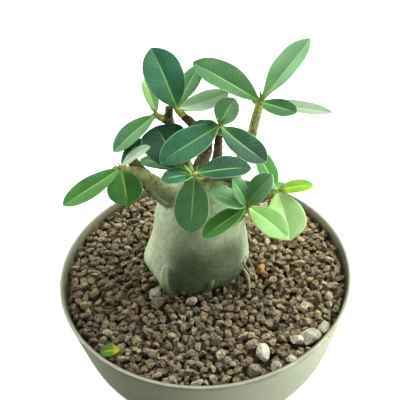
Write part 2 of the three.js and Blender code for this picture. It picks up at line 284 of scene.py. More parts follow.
def makeSpeckle():
    # small round dots of a second colour, some of them missing
    group, source, result = newGroup(
        "speckle",
        {"Place": "Vector", "Scale": "Float", "Size": "Float", "Share": "Float",
         "Colour": "Color", "Dot": "Color"},
        {"Colour": "Color", "Mask": "Float"})
    cells = node(group, "TexVoronoi", {"Vector": source["Place"], "Scale": source["Scale"]})
    near = maths(group, "LESS_THAN", cells.outputs["Distance"], source["Size"])
    draw = node(group, "SeparateColor", {"Color": cells.outputs["Color"]}).outputs["Red"]
    picked = maths(group, "LESS_THAN", draw, source["Share"])
    mask = times(group, near, picked)
    feed(group, result, {"Colour": blend(group, mask, source["Colour"], source["Dot"]), "Mask": mask})
    return group


mottle = makeMottle()
speckle = makeSpeckle()


def clouds(tree, place, colour, second, scale, share):
    return useGroup(tree, mottle, {
        "Place": place, "Scale": scale, "Share": share, "Colour": colour, "Second": second})


def sprinkle(tree, place, colour, dot, scale, size, share):
    return useGroup(tree, speckle, {
        "Place": place, "Scale": scale, "Size": size, "Share": share, "Colour": colour, "Dot": dot})


# Camera, light and floor

view = {
    "place": (0.0, -0.23227, 0.29941),
    "turn": (50.49, 2.85, -2.32),  # degrees about X, Y and Z
    "lens": 56.72,
    "sensor": 36.0,
}

studio = {
    "lamps": {  # place, size, watts, where it points
        "windowLight": ((0.64, 0.28, 0.46), 0.5, 11.5, (0.02, 0, 0.07)),
        "leftLight": ((-1.0, 0.4, 0.32), 0.8, 15.0, (0, 0, 0.09)),
        "topSoft": ((0.1, 0.45, 1.1), 0.9, 6.0, (0, 0.02, 0.07)),
        "lowRight": ((0.5, -0.3, 0.02), 0.3, 2.6, (0.04, -0.04, 0.04)),
    },
    "frontGlow": 0.19,  # the room is dim on the camera's side and bright behind and to the right
    "backGlow": ("Y", -0.35, 0.5, 0.85),  # axis, where the glow starts and is full, strength
    "rightGlow": ("X", -0.1, 0.9, 0.4),
    "topDim": ("Z", 0.55, 0.95, 0.3),
    "floorSize": 6.0,
    "floorColour": paint(250, 250, 249),
    "floorShade": paint(84, 82, 78),  # what the floor throws back on the left
    "floorBounce": paint(196, 196, 192),  # and on the right
    "bounceFade": (-0.06, 0.12),  # metres from left to right between the two
    "floorGlow": 0.42,
}


def makeRoom():
    world = bpy.data.worlds.new("softRoom")
    world.use_nodes = True
    tree = world.node_tree
    way = node(tree, "SeparateXYZ", {"Vector": node(tree, "TexCoord").outputs["Generated"]})

    def glowFrom(axis, low, high, strength):
        return times(tree, fade(tree, way.outputs[axis], low, high), strength)

    far = maths(tree, "ADD", glowFrom(*studio["backGlow"]), glowFrom(*studio["rightGlow"]))
    sides = maths(tree, "ADD", far, studio["frontGlow"])
    glow = times(tree, sides, maths(tree, "SUBTRACT", 1.0, glowFrom(*studio["topDim"])))
    seen = node(tree, "LightPath").outputs["Is Camera Ray"]
    shown = node(tree, "Mix", {0: seen, 2: glow, 3: 1.0}).outputs[0]
    feed(tree, tree.nodes["Background"], {"Color": (1.0, 1.0, 1.0, 1.0), "Strength": shown})
    bpy.context.scene.world = world


def makeFloor():
    bpy.ops.mesh.primitive_plane_add(size=studio["floorSize"], location=(0, 0, 0))
    floor = bpy.context.object
    floor.name = "paleFloor"
    material, tree, shader, place = newMaterial("paleFloor", 0.9, 0.1)
    seen = node(tree, "LightPath").outputs["Is Camera Ray"]
    across = node(tree, "SeparateXYZ", {"Vector": place}).outputs["X"]
    lit = fade(tree, across, *studio["bounceFade"])
    bounce = blend(tree, lit, studio["floorShade"], studio["floorBounce"])
    feed(tree, shader, {
        "Base Color": blend(tree, seen, bounce, studio["floorColour"]),
        "Emission Color": (1.0, 1.0, 1.0, 1.0),
        "Emission Strength": times(tree, seen, studio["floorGlow"])})
    floor.data.materials.append(material)


def makeStudio():
    camera = bpy.data.objects.new("photoCamera", bpy.data.cameras.new("photoCamera"))
    bpy.context.scene.collection.objects.link(camera)
    camera.location = view["place"]
    camera.rotation_euler = [math.radians(angle) for angle in view["turn"]]
    camera.data.lens = view["lens"]
    camera.data.sensor_width = view["sensor"]
    bpy.context.scene.camera = camera
    for name, (place, size, watts, target) in studio["lamps"].items():
        bpy.ops.object.light_add(type="AREA", location=place)
        lamp = bpy.context.object
        lamp.name = lamp.data.name = name
        lamp.data.size = size
        lamp.data.energy = watts
        lamp.rotation_euler = (Vector(target) - Vector(place)).to_track_quat("-Z", "Y").to_euler()
    makeRoom()
    makeFloor()
    bpy.context.scene.view_settings.view_transform = "Standard"
    print("studio ready")


makeStudio()


# Bowl

bowl = {
    "outline": [(44, 0), (55, 7.5), (62.5, 16), (68, 28), (71.5, 45), (75, 65)],  # radius, height
    "wall": 1.8,
    "height": 65,
    "rimRound": 0.5,
    "rings": 26,
    "sides": 128,
    "footRing": 3.0,  # width of the ring that the bowl stands on
    "footDepth": 0.7,
    "footBevel": 0.8,
    "floorRound": 1.2,
    "floorInset": 8,  # where the inner floor's last ring lies
    "holes": 6,
    "holeRadius": 3.5,
    "holeCircle": 26,
    "soilHeights": (64.6, 61.5),  # the inner wall is clean at the first and soiled at the second
    "wornHeights": (63.5, 64.6),  # the rim's worn band
}

outlineSamples = np.array([smoothCurve(bowl["outline"], k / 400) for k in range(401)])


def bowlRadius(height):
    return float(np.interp(height, outlineSamples[:, 1], outlineSamples[:, 0]))


def makeBowlMaterial():
    material, tree, shader, place = newMaterial("greenGreyPot", 0.5, 0.4)
    coat = clouds(tree, place, paint(184, 192, 164), paint(170, 178, 148), scale=26.0, share=0.4)
    fine = clouds(tree, place, coat["Colour"], paint(146, 152, 124), scale=700.0, share=0.25)
    # the inner wall is painted darker: partly a soil stain, partly painted shade down inside the bowl
    inside = times(tree, attribute(tree, "inside"), 0.95)
    insideStainAndShade = blend(tree, inside, fine["Colour"], paint(94, 93, 75))
    dusty = noise(tree, place, 90.0, 5.0, 0.65)
    soil = times(tree, attribute(tree, "soil"), fade(tree, dusty, 0.35, 0.6))
    dirty = blend(tree, times(tree, soil, 0.8), insideStainAndShade, paint(66, 56, 38))
    rimWorn = times(tree, attribute(tree, "rim"), fade(tree, dusty, 0.3, 0.62))
    worn = blend(tree, times(tree, rimWorn, 0.7), dirty, paint(132, 132, 108))
    specks = sprinkle(tree, place, worn, paint(112, 104, 82), scale=330.0, size=0.16, share=0.1)
    scuffs = scaleTo(tree, noise(tree, place, 60.0, 4.0), 0.42, 0.62)
    finishSkin(tree, shader, specks["Colour"], noise(tree, place, 900.0, 2.0), 0.00012, scuffs)
    return material


def bowlProfile():
    # radius and height from the foot ring up the outside, over the lip and down the inside
    wall, top, turn = bowl["wall"], bowl["height"], bowl["rimRound"]
    floorRadius = bowl["outline"][0][0]
    foot = floorRadius - bowl["footRing"]
    # the rings crowd towards the foot, where the wall is round
    heights = [top * (k / bowl["rings"]) ** 1.5 for k in range(bowl["rings"])]
    outer = [(bowlRadius(height), height) for height in heights]
    quarter = [math.radians(90 * k / 4) for k in range(5)]
    rim = [(bowlRadius(top) - turn * (1 - math.cos(angle)), top - turn * (1 - math.sin(angle)))
           for angle in quarter]
    rim += [(bowlRadius(top) - wall + turn * (1 - math.sin(angle)), top - turn * (1 - math.cos(angle)))
            for angle in quarter]
    inner = [(bowlRadius(level) - wall, level) for level in reversed(heights) if level > wall + 0.4]
    floor = [(floorRadius - bowl["floorRound"], wall), (floorRadius - bowl["floorInset"], wall)]
    standing = [(foot - bowl["footBevel"], bowl["footDepth"]), (foot, 0.0)]
    return standing + outer + rim + inner + floor


def drillHoles(piece):
    cutters = []
    for k in range(bowl["holes"]):
        angle = 2 * math.pi * k / bowl["holes"]
        away = bowl["holeCircle"] * mm
        bpy.ops.object.select_all(action="DESELECT")
        bpy.ops.mesh.primitive_cylinder_add(
            vertices=32, radius=bowl["holeRadius"] * mm, depth=4 * bowl["wall"] * mm,
            location=(away * math.cos(angle), away * math.sin(angle), 0))
        cutters.append(bpy.context.object)
    cutter = joinAll("drainCutter", cutters)
    modify(piece, "BOOLEAN", operation="DIFFERENCE", object=cutter, solver="EXACT")
    bpy.data.objects.remove(cutter)


def makeBowl():
    rings = [(0, 0, height, radius) for radius, height in bowlProfile()]
    piece = stackRings("growingBowl", rings, bowl["sides"])
    drillHoles(piece)
    wall = bowl["wall"]
    x, y, z = (pointsOf(piece) / mm).T
    outside = np.interp(z, outlineSamples[:, 1], outlineSamples[:, 0])
    isInside = (np.hypot(x, y) < outside - wall * 0.6) & (z > wall * 0.6)
    soil = isInside * smoothStep(z, *bowl["soilHeights"])
    keepValues(piece, inside=isInside, soil=soil, rim=smoothStep(z, *bowl["wornHeights"]))
    piece.data.materials.append(makeBowlMaterial())
    smoothShade(piece, 35)
    handOver(piece, "bowl")


makeBowl()


# Swollen stem with its roots and branches

stem = {
    "rows": [  # x, y, z, radius
        (-4, 10, 37, 5), (-4, 10, 43, 13), (-4.5, 10, 50, 20.5), (-4.5, 10.5, 55, 24.6),
        (-4.4, 10.5, 59.5, 26.6), (-4.1, 10.5, 64, 26.7), (-3.2, 10.5, 69, 26),
        (-2.3, 10.5, 75, 25.1), (-1.8, 10.5, 81, 24), (-1.3, 10.8, 88, 23),
        (-0.8, 11, 94, 22.2), (-0.5, 11.5, 98.5, 20.2), (-0.4, 12, 102, 16.5), (-0.2, 12, 105, 10.5),
    ],
    "swells": [  # turn, height, swell, width in degrees, height of the swell
        (178, 60, 1.8, 16, 5.5), (-155, 61, -0.8, 12, 6), (-95, 60, 0.6, 12, 6),
        (-70, 60, -1.2, 10, 5), (-38, 63.5, 1.7, 15, 5), (-4, 61, 1.3, 18, 7),
        (70, 64, 2.4, 26, 9), (125, 62, 1.5, 18, 8),
    ],
    "roots": [
        [(-19.6, -9.2, 74, 1.4), (-20.9, -12.2, 68.6, 2), (-19.2, -16, 64, 1.8),
         (-16.2, -17.8, 59.5, 1.3)],
        [(20, -3, 68, 0.6), (21.4, -6, 65.5, 0.8), (21.6, -9, 62, 0.8), (21, -11, 56, 0.7)],
        [(14, 29, 66, 2.4), (18.5, 34, 62, 2.2), (20, 36, 56, 1.7)],
        [(-20, 24, 66, 2.6), (-25.5, 27.5, 62, 2.3), (-28, 29.5, 56, 1.8)],
        [(2.6, -14.5, 67.2, 1.6), (2.7, -16.4, 66.6, 1.5), (2.0, -17.4, 64.6, 0.7),
         (1.0, -18.4, 62.4, 0.5), (0.2, -19.5, 60.4, 0.45), (0.4, -21, 58.6, 0.4)],
    ],
    "rootlets": [  # thin dry roots that hang from the stem's foot into the grit
        [(19.5, -8.5, 68.5, 0.8), (21.2, -12.5, 66.5, 1.15), (21.6, -16, 63.5, 1.0),
         (21.4, -18.4, 60.5, 0.6)],
        [(23.6, -6, 66, 0.3), (25.2, -9.6, 64.6, 0.42), (25.6, -13.6, 60.6, 0.25)],
        [(21.4, 2, 67, 0.3), (23.4, -0.4, 66, 0.4), (24.4, -3.4, 63.6, 0.34), (24.2, -5.6, 60.6, 0.2)],
        [(16.5, -12.5, 65, 0.35), (18.2, -15.6, 63.6, 0.4), (18.4, -18.4, 60.6, 0.25)],
        [(-15.6, -17.6, 61.5, 0.9), (-14, -19.6, 60.9, 0.6), (-12.4, -21, 60.2, 0.35)],
    ],
    "rings": 44,
    "sides": 72,
    "foot": (-4.4, 10.5, 26),  # x, y and radius where the stem enters the grit
    "voxel": 0.5,
    "smoothing": 26,
    "scarStart": 4.0,
    "scarStep": 3.3,
    "scarSize": 1.1,
    "scarHeight": 0.26,
    "waveHeight": 0.16,
    "nearSkin": 1.2,  # a point this close to a limb's skin is on that limb
    # what follows is none at the first value of a pair and full at the second
    "softRadii": (1.6, 7.0),  # smoothing
    "scarRadii": (8.5, 4.2),  # colour of the leaf scars
    "reliefRadii": (7.5, 5.0),  # relief of the leaf scars
    "brownRadii": (4.6, 2.4),  # thin wood's brown
    "barkHeights": (97, 114),  # branch bark in place of the trunk's green skin
    "crown": (-0.7, 11.5),  # middle of the crown, where bark also begins further out
    "crownReach": (19, 29),
    "crownHeights": (88, 98),
    "stainHeights": (105, 68),  # soil stain and painted shade
    "rootStainShade": (74, 62),
    "rootPaler": (62, 76),
    "stainTurn": -74,  # the way that the middle of the stain and painted shade faces, degrees
    "stainWidth": 50,
    "seed": 5,
}
goldenTurn = 2.4  # radians from one leaf to the next up a branch

branches = {  # stops of x, y, z, radius, then the growing tip and the wood's radius below it
    "upperLeft": ([(-1, 10, 96, 8), (-0.5, 7.5, 111, 4.8), (1.2, 8, 123, 3.5), (5.2, 12, 130.5, 2.3),
                   (3, 19, 134.5, 2.2), (-3, 25, 137, 2.2)], (-8.3, 27, 142.6), 1.8),
    "topStub": ([(-3, 18, 94, 7), (-6, 24, 110, 3.8), (-10.8, 30, 126, 2.6), (-12.8, 30.6, 133.6, 2.3)],
                (-18.3, 26, 141), 1.7),
    "middle": ([(-1, 8, 109, 4.4), (-4.6, 7.2, 114.6, 2.8)], (-9.3, 7, 121.6), 1.9),
    "left": ([(-8, 12, 93, 9), (-17, 13, 103, 5.6), (-25, 14, 112.5, 3.7), (-31, 10.8, 119.5, 2.5)],
             (-36.1, 7, 125), 2.1),
    "frontCentre": ([(11, 13, 94, 8), (17, 11, 103, 4.4), (18, 9, 111.5, 3.2), (11.3, 4.5, 118.6, 2.6),
                     (4, -2.5, 123.6, 2.3)], (-1.6, -7, 128.7), 2),
    "centre": ([(3, 15, 96, 7.5), (7.5, 15.6, 110, 3.8), (9.6, 15.5, 122.5, 2.4)],
               (11.3, 15, 139.5), 1.8),
    "right": ([(9, 17, 93, 8), (18, 22, 107, 4.2), (25.5, 26.5, 118.5, 2.9), (28.8, 28.8, 130, 2.5)],
              (31.7, 30, 142), 2.2),
    "lowFront": ([(9, 4, 90, 9), (16.5, -1, 97.5, 4)], (21.8, -6, 107.1), 2.2),
    "lowRight": ([(8, 13, 90, 9), (20, 13.5, 93, 4.2), (29, 13, 96, 2.7)], (38.5, 12, 101), 1.9),
}
shootLength = 4.5

bareEnds = [  # two pruned ends and a thin twig
    [(-12, 30.2, 130, 2.3), (-12.6, 30.8, 136, 2.2), (-12, 31, 142, 2)],
    [(-24, 13.8, 111, 3.6), (-29, 16, 117, 3.2), (-31.9, 17.2, 121.5, 2.8)],
    [(-13, 6, 98, 1.9), (-21, 6, 106, 1.1), (-29, 8.5, 116, 1.1), (-31.5, 10.5, 119.6, 1.1)],
]


def shootAxis(name):
    stops, tip = branches[name][:2]
    return (Vector(tip) - Vector(stops[-1][:3])).normalized()


def woodStops(name):
    # the branch's stops, and its end a little way inside the growing tip
    stops, tip, end = branches[name]
    point = Vector(tip) - shootAxis(name) * (shootLength - 0.4)
    return stops + [(*point, end)]


def makeTrunk():
    steps = stem["rings"]
    rings = [tuple(smoothCurve(stem["rows"], k / steps)) for k in range(steps + 1)]
    trunk = stackRings("trunk", rings, stem["sides"])
    points = pointsOf(trunk) / mm
    z = points[:, 2]
    heights = [row[2] for row in rings]
    middles = [np.interp(z, heights, [row[axis] for row in rings]) for axis in (0, 1)]
    away = points[:, :2] - np.stack(middles, 1)
    reach = np.maximum(np.hypot(away[:, 0], away[:, 1]), 1e-6)
    angle = np.arctan2(away[:, 1], away[:, 0])
    wanted = reach * (1 + 0.022 * np.sin(3 * angle + 0.6) + 0.015 * np.sin(5 * angle + z / 9))
    for turn, level, swell, wide, tall in stem["swells"]:
        off = angle - math.radians(turn)
        off = np.arctan2(np.sin(off), np.cos(off)) / math.radians(wide)
        wanted += swell * np.exp(-off**2 - ((z - level) / tall) ** 2)
    points[:, :2] += away / reach[:, None] * (wanted - reach)[:, None]
    movePoints(trunk, points * mm)
    return trunk


def limbLines(limbs):
    # every limb's middle line as short straight pieces: start, end and the limb's number
    lines = []
    for number, stops in enumerate(limbs):
        steps = 6 * (len(stops) - 1)
        dots = [smoothCurve(stops, k / steps) for k in range(steps + 1)]
        lines += [(first, second, number) for first, second in zip(dots, dots[1:])]
    return lines


def nearestLimb(points, lines):
    # for each point the limb whose skin is nearest: its distance, its radius there and its number
    best = np.full(len(points), 1e9)
    radius, limb = np.full(len(points), 30.0), np.full(len(points), -1)
    for first, second, number in lines:
        step = second[:3] - first[:3]
        size = float(np.linalg.norm(step))
        share = np.clip((points - first[:3]) @ step / size**2, 0, 1)
        here = first[3] + (second[3] - first[3]) * share
        gap = np.linalg.norm(points - first[:3] - share[:, None] * step, axis=1) - here
        closer = gap < best
        best[closer] = gap[closer]
        radius[closer] = here[closer]
        limb[closer] = number
    return best, radius, limb


def makeScars(points, normals, limbs, rng):
    # leaf scars wind up every branch and both pruned ends: a low ring around a small pit
    lift = np.zeros(len(points))
    tint = np.zeros(len(points))
    steps = 40
    for stops in limbs[:len(branches) + 2]:
        dots = np.array([smoothCurve(stops, k / steps) for k in range(steps + 1)])
        sizes = np.linalg.norm(np.diff(dots[:, :3], axis=0), axis=1)
        length = np.concatenate([[0], np.cumsum(sizes)])
        turn = rng.uniform(0, 6)
        place = stem["scarStart"]
        while place < length[-1] - 0.5:
            middle = np.array([np.interp(place, length, values) for values in dots.T])
            ahead = np.array([np.interp(place + 0.5, length, values) for values in dots.T[:3]])
            axis = Vector(ahead - middle[:3]).normalized()
            side = axis.orthogonal().normalized()
            side.rotate(Matrix.Rotation(turn, 3, axis))
            centre = middle[:3] + np.array(side) * middle[3]
            away = np.linalg.norm(points - centre, axis=1) / (stem["scarSize"] * rng.uniform(0.8, 1.25))
            facing = (normals @ np.array(side)) > 0.2
            ring = np.exp(-((away - 0.8) / 0.35) ** 2) - 0.9 * np.exp(-(away / 0.5) ** 2)
            lift += np.where(facing, ring, 0) * stem["scarHeight"]
            tint = np.maximum(tint, np.where(facing, np.exp(-(away / 0.75) ** 2), 0))
            turn += goldenTurn + rng.uniform(-0.25, 0.25)
            place += stem["scarStep"] * rng.uniform(0.75, 1.2)
    return lift, tint


def makeBarkMaterial():
    material, tree, shader, place = newMaterial("stemBark", 0.62, 0.3)
    trunkSkin = clouds(tree, place, paint(178, 192, 158), paint(150, 166, 128), scale=60.0, share=0.8)
    grain = clouds(tree, place, trunkSkin["Colour"], paint(124, 142, 102), scale=420.0, share=0.4)
    stretched = node(tree, "Mapping", {"Vector": place, "Scale": (1.0, 1.0, 0.2)}).outputs["Vector"]
    streaks = clouds(tree, stretched, grain["Colour"], paint(190, 198, 166), scale=500.0, share=0.35)
    flecks = sprinkle(
        tree, place, streaks["Colour"], paint(124, 134, 98), scale=640.0, size=0.24, share=0.12)
    patchy = noise(tree, place, 70.0, 4.0, 0.6)
    cloudy = times(tree, maths(tree, "SUBTRACT", patchy, 0.5), 0.7)
    # the stem's front and the front roots' lower ends are painted darker: a soil stain and painted shade
    stain = fade(tree, maths(tree, "ADD", attribute(tree, "stain"), cloudy), 0.1, 0.85)
    soil = clouds(tree, place, paint(78, 94, 60), paint(50, 60, 36), scale=380.0, share=0.7)
    stained = blend(tree, times(tree, stain, 0.92), flecks["Colour"], soil["Colour"])
    branchSkin = clouds(tree, place, paint(172, 182, 124), paint(130, 137, 87), scale=260.0, share=0.8)
    thinSkin = blend(tree, attribute(tree, "thin"), branchSkin["Colour"], paint(92, 82, 54))
    darkFlecks = sprinkle(tree, place, thinSkin, paint(70, 62, 40), scale=800.0, size=0.33, share=0.38)
    paleFlecks = sprinkle(
        tree, place, darkFlecks["Colour"], paint(184, 180, 144), scale=1100.0, size=0.3, share=0.22)
    scars = times(tree, attribute(tree, "scar"), 0.7)
    scarred = blend(tree, scars, paleFlecks["Colour"], paint(82, 70, 46))
    woody = fade(tree, maths(tree, "ADD", attribute(tree, "limb"), cloudy), 0.15, 0.9)
    skin = blend(tree, woody, stained, scarred)
    cutWood = clouds(tree, place, paint(120, 92, 58), paint(62, 46, 30), scale=700.0, share=0.8)
    ended = blend(tree, attribute(tree, "cut"), skin, cutWood["Colour"])
    relief = maths(tree, "ADD", noise(tree, place, 1300.0, 3.0), streaks["Height"])
    finishSkin(tree, shader, ended, relief, 0.00022, scaleTo(tree, grain["Height"], 0.5, 0.78))
    return material


def makeRootlets():
    material, tree, shader, place = newMaterial("dryRoot", 0.8, 0.15)
    husk = clouds(tree, place, paint(176, 166, 130), paint(112, 98, 66), scale=600.0, share=0.9)
    finishSkin(tree, shader, husk["Colour"], noise(tree, place, 1500.0, 3.0), 0.0003)
    tubes = [bendTube("rootlet", stops, 8, 6) for stops in stem["rootlets"]]
    piece = joinAll("dryRootlets", tubes)
    piece.data.materials.append(material)
    smoothShade(piece)
    handOver(piece, "caudex_with_branches")


def softenStem(piece, lines):
    # the thick trunk is smoothed more than the thin limbs
    gap, radius = nearestLimb(pointsOf(piece) / mm, lines)[:2]
    thick = smoothStep(np.where(gap < 1.5, radius, 30), *stem["softRadii"])
    softness = piece.vertex_groups.new(name="softness")
    for level in range(11):
        members = np.nonzero(np.round(thick * 10) == level)[0].tolist()
        softness.add(members, 0.12 + 0.088 * level, "REPLACE")
    modify(piece, "SMOOTH", factor=0.5, iterations=stem["smoothing"], vertex_group="softness")


def cutEnds(points):
    # 1 on the end faces of the two pruned branches
    cut = np.zeros(len(points))
    for stops in bareEnds[:2]:
        end, before = np.array(stops[-1]), np.array(stops[-2])
        axis = (end - before)[:3] / np.linalg.norm((end - before)[:3])
        off = points - end[:3]
        near = np.linalg.norm(off, axis=1) < end[3] * 1.5
        cut = np.maximum(cut, near * smoothStep(off @ axis, -0.8, -0.1))
    return cut


def soilStainAndShade(points, onRoot):
    # a soil stain with painted shade: darkest on the front of the stem's foot and on the lower ends of
    # the front roots
    x, y, z = points.T
    footX, footY = stem["foot"][:2]
    turned = np.degrees(np.arctan2(y - footY, x - footX))
    facing = np.exp(-((np.abs(turned - stem["stainTurn"])) / stem["stainWidth"]) ** 4)
    facing = np.maximum(facing, onRoot * (y < 0) * smoothStep(z, *stem["rootStainShade"]))
    paler = 0.5 * onRoot * smoothStep(z, *stem["rootPaler"])
    return smoothStep(z, *stem["stainHeights"]) * (0.2 + 0.8 * facing) * (1 - paler)


def makeStem():
    limbs = [woodStops(name) for name in branches] + bareEnds + stem["roots"]
    lines = limbLines(limbs)
    piece = joinAll("swollenStem", [makeTrunk()] + [bendTube("limb", stops) for stops in limbs])
    modify(piece, "REMESH", mode="VOXEL", voxel_size=stem["voxel"] * mm, use_smooth_shade=True)
    softenStem(piece, lines)
    points, normals = pointsOf(piece) / mm, pointsOf(piece, "normal")
    x, y, z = points.T
    gap, radius, limb = nearestLimb(points, lines)
    isRoot = limb >= len(branches) + len(bareEnds)
    isLimb = (gap < stem["nearSkin"]) & ~isRoot
    onLimb = smoothStep(np.where(isLimb, radius, 30), *stem["scarRadii"])
    lift, scars = makeScars(points, normals, limbs, np.random.default_rng(stem["seed"]))
    lift *= smoothStep(radius, *stem["reliefRadii"]) * isLimb
    waves = stem["waveHeight"] * np.sin(z * 1.9 + 3 * np.sin(x * 0.22)) * np.sin(x * 0.9)
    lift += waves * (0.4 + 0.6 * onLimb)
    movePoints(piece, (points + normals * lift[:, None]) * mm)
    crownX, crownY = stem["crown"]
    outer = smoothStep(np.hypot(x - crownX, y - crownY), *stem["crownReach"])
    outer *= smoothStep(z, *stem["crownHeights"])
    branchy = np.maximum(smoothStep(z, *stem["barkHeights"]), outer)

    # thin wood is brown, less so on the left branch and not at all on the two on the right
    order = list(branches)
    isPale = np.isin(limb, [order.index("right"), order.index("lowRight")])
    width = np.where(limb == order.index("left"), radius + 1.6, radius)
    thin = smoothStep(width, *stem["brownRadii"]) * ~isRoot * ~isPale
    onRoot = np.where(isRoot, smoothStep(gap, stem["nearSkin"], 0.2), 0)
    keepValues(
        piece, limb=branchy, scar=scars * onLimb * branchy, stain=soilStainAndShade(points, onRoot),
        thin=thin, cut=cutEnds(points))
    piece.data.materials.append(makeBarkMaterial())
    handOver(piece, "caudex_with_branches")


makeStem()
makeRootlets()


# Leaves

leafKinds = {  # upper side, darker patches, near the midrib, midrib, margin (pale, with a painted rim highlight), underside
    "dark": ((50, 112, 74), (37, 88, 60), (54, 124, 50),
             (122, 170, 108), (134, 180, 128), (104, 152, 98)),
    "shady": ((34, 84, 53), (26, 66, 43), (50, 112, 42),
              (124, 172, 108), (136, 182, 130), (100, 148, 92)),
    "mid": ((65, 115, 64), (50, 98, 54), (76, 138, 52),
            (138, 184, 110), (148, 190, 128), (100, 150, 84)),
    "soft": ((96, 150, 93), (78, 130, 78), (94, 152, 72),
             (156, 200, 130), (152, 194, 132), (118, 164, 100)),
    "fresh": ((82, 142, 63), (64, 122, 52), (86, 152, 46),
              (154, 200, 116), (144, 190, 108), (92, 148, 64)),
    "grass": ((56, 122, 38), (44, 102, 32), (72, 136, 38),
              (132, 186, 90), (150, 204, 104), (52, 114, 36)),
    "pale": ((135, 186, 129), (114, 167, 110), (138, 192, 112), (168, 208, 146), (168, 208, 152),
             (152, 188, 140)),
    # painted sheen: pale grey-green for a leaf that is pale with glare at a grazing angle
    "frost": ((150, 176, 144), (130, 160, 124), (150, 180, 134), (176, 202, 158), (182, 206, 168),
              (166, 192, 156)),
    # painted reflection: pale grey-green for a leaf that reflects the pale room
    "mist": ((136, 157, 132), (120, 142, 116), (136, 160, 124), (168, 190, 152), (170, 192, 158),
             (158, 180, 148)),
    # painted sheen: near white green for a leaf that is pale with glare
    "silver": ((208, 244, 200), (190, 228, 180), (208, 244, 188), (214, 238, 202), (216, 240, 208),
               (210, 244, 200)),
    # painted light: bright green standing in for backlit glow on leaves that lie in shade
    "light": ((184, 228, 150), (164, 212, 130), (182, 226, 120), (214, 238, 184), (194, 224, 152),
              (158, 202, 122)),
    "glassy": ((122, 168, 88), (102, 150, 76), (124, 170, 74), (164, 204, 118), (150, 190, 100),
               (124, 164, 84)),
    "young": ((138, 190, 48), (118, 172, 40), (162, 202, 56),
              (190, 214, 84), (170, 210, 80), (140, 190, 64)),
    "bud": ((126, 170, 58), (100, 142, 46), (146, 180, 62),
            (146, 182, 84), (112, 152, 62), (104, 142, 60)),
    "shed": ((72, 112, 24), (46, 76, 20), (206, 176, 32),
             (130, 146, 36), (96, 108, 30), (110, 124, 32)),
}

leaf = {
    "forms": {  # share of the length, share of the half width
        "oval": [(0, 0.09), (0.07, 0.22), (0.18, 0.58), (0.34, 0.88), (0.52, 1), (0.68, 0.98),
                 (0.82, 0.8), (0.93, 0.48), (1, 0.05)],
        "round": [(0, 0.09), (0.07, 0.22), (0.18, 0.56), (0.34, 0.86), (0.5, 0.98), (0.66, 1),
                  (0.82, 0.9), (0.93, 0.6), (1, 0.06)],
        "lance": [(0, 0.08), (0.1, 0.22), (0.25, 0.58), (0.42, 0.92), (0.55, 1), (0.7, 0.95),
                  (0.82, 0.76), (0.92, 0.46), (1, 0.05)],
    },
    "columns": 14,
    "rows": 24,
    "fold": 12,  # degrees that each half is raised from flat, unless the leaf has its own
    "blade": 0.55,  # thickness
    "margin": 0.4,
    "petiole": 1.5,
    "rib": 0.6,  # how much thicker the midrib is
    "ribWidth": 0.6,
    "crease": 0.22,  # depth of the groove along the midrib
    "creaseWidth": 0.7,
    "foldSpread": 3,
    "ripple": 0.014,  # height of the margin's waves, as a share of the width
    "ripples": (11, 12.5),  # radians of wave along the two margins
    "sway": 0.02,  # how far the midrib bends sideways, as a share of the length
    "crowding": 1.35,  # draws the columns towards the midrib
    "fullWidth": 12,  # narrower leaves are thinner in proportion
    "planSize": 40,  # the span of the blade's flat plan
    "smallBelow": 9,  # shorter leaves have fewer columns and rows
    "smallGrid": (8, 12),
    "seed": 11,
}

formDots = {
    form: np.array([smoothCurve(dots, k / 200) for k in range(201)])
    for form, dots in leaf["forms"].items()
}

